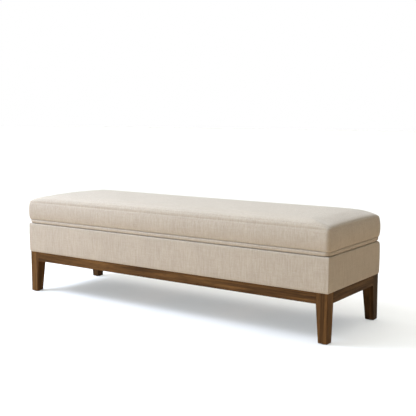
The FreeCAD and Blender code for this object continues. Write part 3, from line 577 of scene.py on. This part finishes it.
def finish_frame():
    """Materials of the CAD pieces that stay, wood with its grain along each piece. The end aprons and the rear legs
    are darkened as painted shade.
    """
    wood_along_x = walnut("walnut_lengthwise", X_AXIS)
    # The end aprons are darkened as painted shade.
    shaded_along_y = walnut("walnut_crosswise_painted_shade", Y_AXIS, 0.62)
    wood_along_z = walnut("walnut_upright", Z_AXIS)
    # The rear legs are darkened as painted shade, for legs that stand in shadow behind the bench.
    shaded_along_z = walnut("walnut_upright_painted_shade", Z_AXIS, 0.45)
    timber_x = raw_wood("pine_lengthwise", X_AXIS)
    timber_y = raw_wood("pine_crosswise", Y_AXIS)
    finishes = {
        "leg_front": wood_along_z,
        "leg_back": shaded_along_z,
        "apron_front": wood_along_x,
        "apron_back": wood_along_x,
        "apron_left": shaded_along_y,
        "apron_right": shaded_along_y,
        "cross_rail_": timber_y,
        "corner_block_": timber_x,
        "box_floor": PLYWOOD,
        "box_panel_": PLYWOOD,
        "lid_board": PLYWOOD,
        "hinge_": STEEL,
        "stay_": STAY_STEEL,
        "hanger_bolts": ZINC,
        "flange_nuts": ZINC,
        "frame_screws": ZINC,
        "hardware_screws_": SCREW_STEEL,
        "foot_glide_": GLIDE,
        "rim_bumpers": RUBBER,
    }
    for name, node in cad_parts.items():
        for start, material in finishes.items():
            if name.startswith(start):
                node.data.materials.clear()
                node.data.materials.append(material)


# ---------------------------------------------------------------- the lid's cushion

CUSHION_BOTTOM = COVER_LOW.z
# The sides swell past the box at the front and the ends, and stay clear of it at the hinges.
SWELL_END = 7 * MM
SWELL_FRONT = 5 * MM
CUSHION_X = HALF_X + SWELL_END
CUSHION_Y = HALF_Y + SWELL_FRONT / 2
CUSHION_CENTRE = (0.0, -SWELL_FRONT / 2)
CORNER = 20 * MM
SEAM_HEIGHT = 413 * MM
SEAM_INSET = 5.6 * MM
SHOULDER_END = 86 * MM
SHOULDER_SIDE = 36 * MM
SHOULDER_RISE = 26 * MM
CROWN_DEEP = 6 * MM
CROWN_LONG = 6.5 * MM
PULL_IN = 1.6 * MM
PUFF_MOST = 4 * MM
PUFF_FRAMES = 20
END_SEAM = 4 * MM
SEAM_DEEP = 1.5 * MM
STITCH_DEEP = 0.8 * MM
END_SEAM_DEEP = 1.3 * MM
STITCH_RING = 2
SEAM_RING = 6
# (inset, height) rings of the cushion from its top grid's edge to its underside
CUSHION_RINGS = [(inset * MM, None) for inset in (14.5, 12.0, 10.0, 9.0, 7.6, 6.3)]
CUSHION_RINGS += [(inset * MM, height * MM) for inset, height in (
    (5.6, 413.0), (5.0, 411.7), (4.3, 408.5), (3.3, 404.0), (1.9, 396.0), (0.8, 386.0), (0.3, 376.0),
    (0.4, 366.0), (1.2, 356.5), (2.4, 348.5), (3.9, 342.0), (5.4, 337.7), (7.2, 335.3), (13.0, 335.0))]


def cushion_outline(step):
    straight_x = CUSHION_X - CORNER
    straight_y = CUSHION_Y - CORNER
    graded_x = [g * MM for g in (3, 7, 12, 19, 28, 40)]
    graded_y = [g * MM for g in (2, 4, 6, 10, 16, 26)]
    return Outline(CUSHION_X, CUSHION_Y, CORNER, spread(-straight_x, straight_x, step, graded_x),
                   spread(-straight_y, straight_y, step, graded_y), 4, CUSHION_CENTRE)


def shoulder(distance, width, fullness):
    """How far the top has risen round its shoulder at a distance in from the side, from 0 to 1."""
    share = (width - max(SEAM_INSET, min(width, distance))) / (width - SEAM_INSET)
    return max(0.0, 1 - share ** fullness) ** (1 / fullness)


def crown(x, y):
    """The height of the cushion's top panel before it is puffed up."""
    y -= CUSHION_CENTRE[1]
    rise = shoulder(CUSHION_X - abs(x), SHOULDER_END, 1.95) * shoulder(CUSHION_Y - abs(y), SHOULDER_SIDE, 2.1)
    long = 1 - (x / CUSHION_X) ** 8
    deep = 1 - (y / CUSHION_Y) ** 2
    return SEAM_HEIGHT + SHOULDER_RISE * rise + (CROWN_DEEP * deep + CROWN_LONG * long - PUFF_MOST) * rise


def pulled_in(place):
    """A cushion's place with the sides drawn in a little between the corners."""
    place.x *= 1 - PULL_IN / CUSHION_X * (1 - (place.y / CUSHION_Y) ** 2)
    place.y *= 1 - PULL_IN / CUSHION_Y * (1 - (place.x / CUSHION_X) ** 2)
    return place


def give(place):
    """How freely a point of the cushion may swell: not at the seams, fully in the middle of a panel."""
    if place.z > SEAM_HEIGHT:
        from_side = min(CUSHION_X - abs(place.x), CUSHION_Y - abs(place.y - CUSHION_CENTRE[1]))
        return smooth(1.5 * SEAM_INSET, 1.5 * SHOULDER_SIDE, from_side)
    up = (place.z - CUSHION_BOTTOM) / (SEAM_HEIGHT - CUSHION_BOTTOM)
    return max(0.0, 4 * up * (1 - up))


def puff(piece, held, most):
    """Swell a closed piece with a short cloth simulation, no point moving by more than `most`."""
    start = [v.co.copy() for v in piece.data.vertices]
    group = piece.vertex_groups.new(name="held")
    group.add(held, 1.0, "REPLACE")
    modifier = piece.modifiers.new("puff", "CLOTH")
    settings = modifier.settings
    settings.quality = 4
    settings.mass = 0.4
    settings.tension_stiffness = 25
    settings.compression_stiffness = 25
    settings.shear_stiffness = 15
    settings.bending_stiffness = 6
    settings.use_pressure = True
    settings.uniform_pressure_force = 4
    settings.vertex_group_mass = "held"
    settings.effector_weights.gravity = 0
    modifier.collision_settings.use_collision = False
    scene = bpy.context.scene
    for step in range(1, PUFF_FRAMES + 1):
        scene.frame_set(step)
    swollen = piece.evaluated_get(bpy.context.evaluated_depsgraph_get())
    moved = [v.co.copy() for v in swollen.data.vertices]
    piece.modifiers.remove(modifier)
    piece.vertex_groups.clear()
    scene.frame_set(1)
    furthest = max((b - a).length for a, b in zip(start, moved))
    for vertex, a, b in zip(piece.data.vertices, start, moved):
        move = b - a
        if move.length > 0:
            vertex.co = a + move.normalized() * most * give(a) * (1 - math.exp(-move.length / most))
    print("puffed", piece.name, round(furthest / MM, 2), "mm at most before the cap")


def make_cushion():
    """The boxed cushion: side panels, a seam, and a crowned top with a line of stitches on its shoulder."""
    outline = cushion_outline(12 * MM)
    form = ClosedForm(outline, CUSHION_RINGS, crown, lambda x, y: CUSHION_BOTTOM)
    piece = make_piece("lid_cushion", [pulled_in(v) for v in form.vertices], form.faces, LINEN, "lid", 80)
    held = [k for column in form.bottom for k in column]
    for ring in form.rings[STITCH_RING:SEAM_RING + 1] + [form.rings[-3]]:
        held += ring
    puff(piece, held, PUFF_MOST)
    sew(piece, form)
    piece.modifiers.new("smooth", "SUBSURF").levels = 1
    apply_modifiers(piece)
    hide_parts("cushion_cover")
    make_topstitch(piece, form)


def apply_modifiers(piece):
    """Keep the piece's evaluated mesh as its own."""
    shown = piece.evaluated_get(bpy.context.evaluated_depsgraph_get())
    mesh = bpy.data.meshes.new_from_object(shown)
    piece.modifiers.clear()
    piece.data = mesh


def sew(piece, form):
    """Draw the fabric in along the boxing seam, the topstitching and the upright seams."""
    piece.data.update()
    normals = [v.normal.copy() for v in piece.data.vertices]
    vertices = piece.data.vertices
    for k in form.rings[SEAM_RING]:
        vertices[k].co -= normals[k] * SEAM_DEEP
    for k in form.rings[STITCH_RING]:
        vertices[k].co -= normals[k] * STITCH_DEEP
    for ring in form.rings[SEAM_RING + 1:-2]:
        for k in ring:
            place = vertices[k].co
            along = abs(place.y - CUSHION_CENTRE[1])
            if abs(place.x) > CUSHION_X - CORNER / 2 and abs(along - CUSHION_Y + CORNER + END_SEAM) < 0.6 * MM:
                place.x -= math.copysign(END_SEAM_DEEP, place.x)


def make_topstitch(piece, form):
    """Thread along the topstitched line, just above the boxing seam."""
    line = [piece.data.vertices[k].co.copy() for k in form.rings[STITCH_RING]]
    outward = [piece.data.vertices[k].normal.copy() for k in form.rings[STITCH_RING]]
    vertices, faces = stitches(line, outward, 5.0 * MM, 4.0 * MM, 0.35 * MM, 0.32 * MM)
    made = make_piece("lid_cushion_topstitch", vertices, faces, THREAD, "lid", 80)
    return made


def make_foam():
    """The foam inside the cushion cover, clear of it all round."""
    gap = 5 * MM
    lift = 0.5 * MM
    rings = [(inset + gap, None if height is None else max(height - gap, CUSHION_BOTTOM + lift))
             for inset, height in CUSHION_RINGS[::3]]
    form = ClosedForm(cushion_outline(30 * MM), rings, lambda x, y: crown(x, y) - gap,
                      lambda x, y: CUSHION_BOTTOM + lift)
    piece = make_piece("lid_cushion_foam", form.vertices, form.faces, FOAM, "lid", 60)
    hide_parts("cushion_foam")


# ---------------------------------------------------------------- the lid's edge and underside

HINGES = [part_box(f"hinge_pin_{place}") for place in ("left", "middle", "right")]
HINGE_ROOM = (4 * MM, 20 * MM)
BULGE = 6.6 * MM


def between_hinges(x):
    """0 beside a hinge's barrel, rising to 1 away from all three."""
    return min(smooth(*HINGE_ROOM, max(low.x - x, x - high.x)) for low, high in HINGES)


def make_edge_wrap():
    """Linen drawn tight round the lid board's edge, with a soft lip that nearly meets the box."""
    centre = (BAND_LOW + BAND_HIGH) / 2
    half = (BAND_HIGH - BAND_LOW) / 2
    radius = 15 * MM
    straight_x = half.x - radius
    straight_y = half.y - radius
    outline = Outline(half.x, half.y, radius, spread(-straight_x, straight_x, 15 * MM),
                      spread(-straight_y, straight_y, 15 * MM), 4, (centre.x, centre.y))
    low, high = BAND_LOW.z, BAND_HIGH.z
    lip = 2.3 * MM
    # (inset, height, share of the lip's droop) round the wrap's section
    section = [(2.95 * MM, low + 0.02 * MM, 0.2), (2.6 * MM, low - 0.1 * MM, 1.0), (0.5 * MM, low, 1.0),
               (-1.7 * MM, low + 0.1 * MM, 1.0), (-3.7 * MM, low + 0.6 * MM, 1.0), (-5.2 * MM, low + 1.7 * MM, 0.8),
               (-6.1 * MM, low + 3.6 * MM, 0.6), (-6.5 * MM, low + 6.2 * MM, 0.3), (-BULGE, high - 1.4 * MM, 0),
               (-6.0 * MM, high - 0.3 * MM, 0), (-2.0 * MM, high - 0.2 * MM, 0), (2.95 * MM, high - 0.2 * MM, 0)]

    def droop(place, number):
        """The lip swells and hangs below the board all round except along the hinges."""
        clear = 1 - smooth(BAND_HIGH.y - 30 * MM, BAND_HIGH.y - 12 * MM, place.y)
        wave = 0.15 * MM * noise.noise(place * 12)
        place.z -= (lip + wave) * section[number][2] * clear
        place.y = min(place.y, BAND_HIGH.y + BULGE * between_hinges(place.x))
        return place

    vertices, faces = sweep_ring(outline, [(inset, height) for inset, height, _ in section], droop)
    piece = make_piece("lid_edge_wrap", vertices, faces, LINEN, "lid", 60)
    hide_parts("lid_edge_band")


def make_sheet(name, node, body, material, step, sag, margin=0.0):
    """A thin stretched or laid cloth in the place of a CAD sheet, with soft edges and slight waves."""
    low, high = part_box(node)
    half = (high - low) / 2
    centre = (high + low) / 2
    radius = 5 * MM
    outline = Outline(half.x - margin, half.y - margin, radius,
                      spread(-(half.x - margin - radius), half.x - margin - radius, step, [4 * MM, 10 * MM]),
                      spread(-(half.y - margin - radius), half.y - margin - radius, step, [4 * MM, 10 * MM]),
                      2, (centre.x, centre.y))
    thick = high.z - low.z

    def wave(x, y):
        return sag * 0.5 * (1 + noise.noise(Vector((x * 7, y * 7, low.z * 31))))

    edge = 0.35 * thick
    rings = [(1.2 * edge, high.z), (0.3 * edge, high.z - 0.4 * edge), (0.0, centre.z),
             (0.3 * edge, low.z + 0.4 * edge), (1.2 * edge, low.z)]
    form = ClosedForm(outline, rings, lambda x, y: high.z - wave(x, y), lambda x, y: low.z)
    piece = make_piece(name, form.vertices, form.faces, material, body, 60)
    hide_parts(node)
    return piece, low, high


def staples(name, low, high, height, down, inset, spacing, body, slot):
    """Upholstery staples in a row along all four edges of a cloth."""
    crown_half = 5 * MM
    parts = []
    spans = ((X_AXIS, low.y + inset), (X_AXIS, high.y - inset), (Y_AXIS, low.x + inset), (Y_AXIS, high.x - inset))
    for axis, across in spans:
        start, end = (low.x, high.x) if axis == X_AXIS else (low.y, high.y)
        count = round((end - start - 2 * inset) / spacing)
        for k in range(count):
            middle = start + inset + (k + 0.5) * (end - start - 2 * inset) / count
            turn = 0.12 * noise.noise(Vector((middle * 90, across * 70, height * 50)))
            path = []
            for along, drop in ((-crown_half, 3 * MM), (-crown_half, 0), (-0.8 * crown_half, -0.45 * MM),
                                (0.8 * crown_half, -0.45 * MM), (crown_half, 0), (crown_half, 3 * MM)):
                shift = along * math.cos(turn)
                off = along * math.sin(turn)
                plan = (middle + shift, across + off) if axis == X_AXIS else (across + off, middle + shift)
                path.append(Vector((*plan, height - down * drop)))
            parts.append(wire(path, 0.45 * MM, sides=5))
    vertices, faces = join(parts)
    return make_piece(name, vertices, faces, SCREW_STEEL, body, 60)


def make_lid_lining():
    piece, low, high = make_sheet("lid_underside_lining", "lid_lining", "lid", LINING, 20 * MM, 0.0)
    return piece


def make_dust_cover():
    piece, low, high = make_sheet("base_dust_cover", "dust_cover", "base_and_box", DUST_CLOTH,
                                  25 * MM, 0.0)
    return piece


# ---------------------------------------------------------------- the box's covers and linings

def profile_of(points):
    return [(inset * MM, height * MM) for inset, height in points]


RIM_PROFILE = profile_of((
    (5.03, 186.3), (3.2, 186.1), (1.9, 187.4), (1.0, 190.5), (0.45, 198), (0.1, 212), (-0.15, 232), (-0.25, 252),
    (-0.15, 272), (0.1, 290), (0.3, 303), (0.5, 311), (1.0, 315.2), (2.5, 317.4), (5.5, 318.0), (14.0, 318.0),
    (20.9, 317.95), (21.4, 317.5), (20.9, 317.05), (14.0, 317.03), (5.03, 317.03), (5.03, 250.0)))
REAR_PROFILE = profile_of((
    (5.03, 186.3), (3.2, 186.1), (1.9, 187.4), (1.0, 190.5), (0.45, 198), (0.1, 212), (-0.15, 232), (-0.25, 252),
    (-0.15, 272), (0.1, 290), (0.4, 300), (0.9, 306.5), (2.2, 312.6), (5.6, 315.9), (8.8, 317.9), (14.0, 318.0),
    (20.9, 317.95), (21.4, 317.5), (20.9, 317.05), (14.0, 317.03), (9.1, 317.03), (5.03, 314.0)))
OUTER_POINTS = range(1, 14)

COVERS = {
    "front": (Vector((1, 0, 0)), Vector((0, -1, 0)), HALF_X, HALF_Y),
    "right": (Vector((0, 1, 0)), Vector((1, 0, 0)), HALF_Y, HALF_X),
    "back": (Vector((-1, 0, 0)), Vector((0, 1, 0)), HALF_X, HALF_Y),
    "left": (Vector((0, -1, 0)), Vector((-1, 0, 0)), HALF_Y, HALF_X),
}


def make_box_cover(side):
    """The linen over one wall of the box, mitred to its neighbours in an upright seam at each corner."""
    along, out, half_along, half_out = COVERS[side]
    graded = [g * MM for g in (0.8, 1.8, 3.2, 5.5, 9, 15, 24)]
    places = spread(-half_along, half_along, 16 * MM, graded)
    vertices = []
    for place in places:
        share = place / half_along
        from_end = half_along - abs(place)
        seam = hump(from_end, 2.0 * MM)
        middle = out * half_out + along * place
        rear = smooth(HALF_Y - 40 * MM, HALF_Y - 8 * MM, middle.y)
        for k, (rim, back) in enumerate(zip(RIM_PROFILE, REAR_PROFILE)):
            inset = rim[0] + (back[0] - rim[0]) * rear
            height = rim[1] + (back[1] - rim[1]) * rear
            if k in OUTER_POINTS:
                wave = noise.noise(Vector((place * 11, height * 11, 3.7 * half_out)))
                inset += 0.35 * MM * seam + 0.3 * MM * wave * (1 - seam)
                inset = min(inset, 5.0 * MM) if height < RIM_HIGH.z - 3 * MM else inset
            vertices.append(along * share * (half_along - inset) + out * (half_out - inset)
                            + Vector((0, 0, height)))
    count = len(RIM_PROFILE)
    faces = []
    for column in range(len(places) - 1):
        start = column * count
        for k in range(count):
            after = (k + 1) % count
            faces.append((start + k, start + after, start + count + after, start + count + k))
    faces.append(tuple(range(count))[::-1])
    faces.append(tuple(range((len(places) - 1) * count, len(places) * count)))
    faces = [face[::-1] for face in faces]
    piece = make_piece(f"box_linen_{side}", vertices, faces, LINEN, "base_and_box", 50)
    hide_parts(f"box_cover_{side}")
    return piece


def make_wall_lining():
    """A sleeve of lining cloth round the four inner walls, hemmed at the rim."""
    low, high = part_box("wall_lining")
    thick = high.x - (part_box("stay_track_right")[1]).x
    radius = 6 * MM
    straight_x = high.x - radius
    straight_y = high.y - radius
    outline = Outline(high.x, high.y, radius, spread(-straight_x, straight_x, 14 * MM),
                      spread(-straight_y, straight_y, 14 * MM), 3)
    hem = 12 * MM
    inner = [(0.9, low.z), (0.75, low.z + 1 * MM)]
    heights = [low.z + (high.z - hem - low.z) * k / 6 for k in range(1, 6)]
    inner += [(0.62, height) for height in heights]
    inner += [(0.72, high.z - hem - 1 * MM), (0.98, high.z - hem), (1.0, high.z - hem / 2), (0.9, high.z - 0.5 * MM),
              (0.5, high.z)]
    profile = [(0.05 * MM, low.z)] + [(share * thick, height) for share, height in inner]
    profile.append((0.05 * MM, high.z - 0.4 * MM))

    def ripple(place, number):
        if profile[number][0] < 0.3 * thick or place.z > high.z - hem - 2 * MM or place.z < low.z + 2 * MM:
            return place
        wave = 0.4 * MM * (0.3 + noise.noise(Vector((place.x * 9, place.y * 9, place.z * 14))))
        if abs(place.x) > straight_x:
            place.x -= math.copysign(wave, place.x)
        if abs(place.y) > straight_y:
            place.y -= math.copysign(wave, place.y)
        return place

    vertices, faces = sweep_ring(outline, profile, ripple)
    piece = make_piece("storage_wall_lining", vertices, [f[::-1] for f in faces], LINING, "base_and_box",
                       50)
    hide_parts("wall_lining")
    line = []
    outward = []
    for i, j in outline.edge:
        x, y = outline.point(i, j, thick)
        inward = Vector((0, 0, 0))
        if abs(x) > straight_x - thick:
            inward.x = -math.copysign(1, x)
        if abs(y) > straight_y - thick:
            inward.y = -math.copysign(1, y)
        line.append(Vector((x, y, high.z - hem + 2.5 * MM)))
        outward.append(inward.normalized())
    vertices, faces = stitches(line, outward, 6 * MM, 4.2 * MM, 0.2 * MM, 0.25 * MM)
    make_piece("storage_lining_hem_stitch", vertices, faces, LINING_THREAD, "base_and_box", 80)
    return piece


def make_floor_lining():
    piece, low, high = make_sheet("storage_floor_lining", "floor_lining", "base_and_box", LINING,
                                  16 * MM, 0.5 * MM, margin=1.6 * MM)
    return piece


# ---------------------------------------------------------------- the studio

def make_floor():
    """A plain pale floor that throws a warmer light back up at the bench than it shows."""
    reach = 30.0
    steps = 6
    places = [reach * (2 * k / steps - 1) for k in range(steps + 1)]
    vertices = [(x, y, 0.0) for y in places for x in places]
    faces = []
    for j in range(steps):
        for i in range(steps):
            start = j * (steps + 1) + i
            faces.append((start, start + 1, start + steps + 2, start + steps + 1))
    mesh = bpy.data.meshes.new("studio_floor")
    mesh.from_pydata(vertices, [], faces)
    shader = Shader("studio_floor_paper")
    paper = shader.noise(6, detail=3)
    seen = shader.ramp(paper, ((0.3, (0.745, 0.742, 0.75)), (0.7, (0.765, 0.762, 0.77))))
    cast = shader.ramp(paper, ((0.3, (0.75, 0.59, 0.42)), (0.7, (0.77, 0.61, 0.44))))
    path = shader.nodes.new("ShaderNodeLightPath")
    shader.colour(shader.blend(path.outputs["Is Camera Ray"], cast, seen))
    shader.rough(0.9)
    shader.set(specular_ior_level=0.1)
    mesh.materials.append(shader.material)
    floor = bpy.data.objects.new("studio_floor", mesh)
    bpy.context.scene.collection.objects.link(floor)
    return floor


def aim(thing, target):
    direction = Vector(target) - thing.location
    thing.rotation_euler = direction.to_track_quat("-Z", "Y").to_euler()


def put_light(name, kind, energy, location, target, colour):
    lamp = bpy.data.lights.new(name, kind)
    lamp.energy = energy
    lamp.color = colour
    holder = bpy.data.objects.new(name, lamp)
    holder.location = location
    direction = Vector(target) - holder.location
    holder.rotation_euler = direction.to_track_quat("-Z", "Y").to_euler()
    bpy.context.scene.collection.objects.link(holder)
    return holder


def light_only(holder, floor, on_floor):
    """Let a light reach only the floor, or everything but the floor."""
    reached = bpy.data.collections.new(f"{holder.name}_reach")
    reached.objects.link(floor)
    reached.collection_objects[0].light_linking.link_state = "INCLUDE" if on_floor else "EXCLUDE"
    holder.light_linking.receiver_collection = reached


def make_surround():
    """A plain white surround that is brighter on the left of the bench than on its right."""
    world = bpy.data.worlds.new("studio")
    bpy.context.scene.world = world
    world.use_nodes = True
    nodes = world.node_tree.nodes
    links = world.node_tree.links
    place = nodes.new("ShaderNodeTexCoord")
    split = nodes.new("ShaderNodeSeparateXYZ")
    across = nodes.new("ShaderNodeMapRange")
    for socket, number in (("From Min", -1), ("From Max", 1), ("To Min", 0.3), ("To Max", 0.0)):
        across.inputs[socket].default_value = number
    links.new(place.outputs["Generated"], split.inputs[0])
    links.new(split.outputs[0], across.inputs["Value"])
    lit = nodes["Background"]
    lit.inputs["Color"].default_value = (1, 1, 1, 1)
    links.new(across.outputs[0], lit.inputs["Strength"])
    seen = nodes.new("ShaderNodeBackground")
    seen.inputs["Color"].default_value = (1, 1, 1, 1)
    path = nodes.new("ShaderNodeLightPath")
    mix = nodes.new("ShaderNodeMixShader")
    links.new(path.outputs["Is Camera Ray"], mix.inputs[0])
    links.new(lit.outputs[0], mix.inputs[1])
    links.new(seen.outputs[0], mix.inputs[2])
    links.new(mix.outputs[0], nodes["World Output"].inputs["Surface"])


def make_lights(floor):
    """A soft box at the upper left, daylight from above, and two fills whose shadows miss the floor."""
    softbox = put_light("left_softbox", "AREA", 75, (-1.8, -1.3, 2.2), (-0.2, 0, 0.3), (0.71, 0.81, 1.0))
    softbox.data.shape = "RECTANGLE"
    softbox.data.size = 1.4
    softbox.data.size_y = 1.0
    daylight = put_light("top_daylight", "SUN", 2.12, (-0.35, 0, 4), (0, 0, 0), (1.0, 0.98, 0.885))
    daylight.data.angle = math.radians(100)
    fills = (("overhead_fill", 2.8, (-1.73, 0, 1), (0.965, 0.98, 0.965)),
             ("front_fill", 1.38, (-2.5, -3.0, 1.6), (0.74, 0.89, 1.0)))
    for name, strength, place, colour in fills:
        for on_floor in (False, True):
            fill = put_light(f"{name}_floor" if on_floor else name, "SUN", strength, place, (0, 0, 0), colour)
            fill.data.angle = math.radians(30)
            fill.data.use_shadow = not on_floor
            light_only(fill, floor, on_floor)


def make_camera():
    camera = bpy.data.cameras.new("camera")
    camera.lens = 68.3
    camera.sensor_width = 36.0
    camera.clip_start = 0.05
    camera.clip_end = 200
    holder = bpy.data.objects.new("camera", camera)
    holder.location = (1.982, -2.696, 0.826)
    holder.rotation_euler = (math.radians(90 - 6.96), 0, math.radians(35.12))
    bpy.context.scene.collection.objects.link(holder)
    bpy.context.scene.camera = holder


bpy.context.scene.view_settings.view_transform = "Standard"
finish_frame()
make_cushion()
make_foam()
make_edge_wrap()
make_lid_lining()
for side in COVERS:
    make_box_cover(side)
make_wall_lining()
make_floor_lining()
make_dust_cover()
studio_floor = make_floor()
make_surround()
make_lights(studio_floor)
make_camera()
